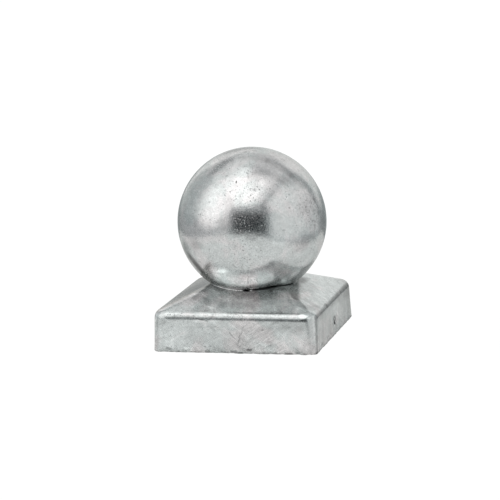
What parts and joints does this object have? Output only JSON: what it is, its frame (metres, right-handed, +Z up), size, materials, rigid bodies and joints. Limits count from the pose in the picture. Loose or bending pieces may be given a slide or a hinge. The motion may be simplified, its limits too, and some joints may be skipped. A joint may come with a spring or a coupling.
{
  "type": "ball post cap",
  "caption": "Galvanised steel cap for a square fence post: a hollow pressed cap with a low pyramid top and a round ball set into its middle.",
  "frame": {"origin": "the middle of the cap, level with the lower edge of its skirt", "axes": "+Z up through the ball; X and Y square to the skirt's sides, with the fixing holes in the +X and -X sides"},
  "size_m": [0.094, 0.094, 0.1075],
  "materials": {
    "cap_zinc": "hot-dip galvanised sheet steel, dull grey with fine spangle, pits, streaks and zinc lumps along the lower edge",
    "ball_zinc": "hot-dip galvanised steel, soft satin shine with fine dark specks"
  },
  "bodies": {
    "root": {"post_cap": "cap_zinc", "ball": "ball_zinc"}
  },
  "joints": []
}
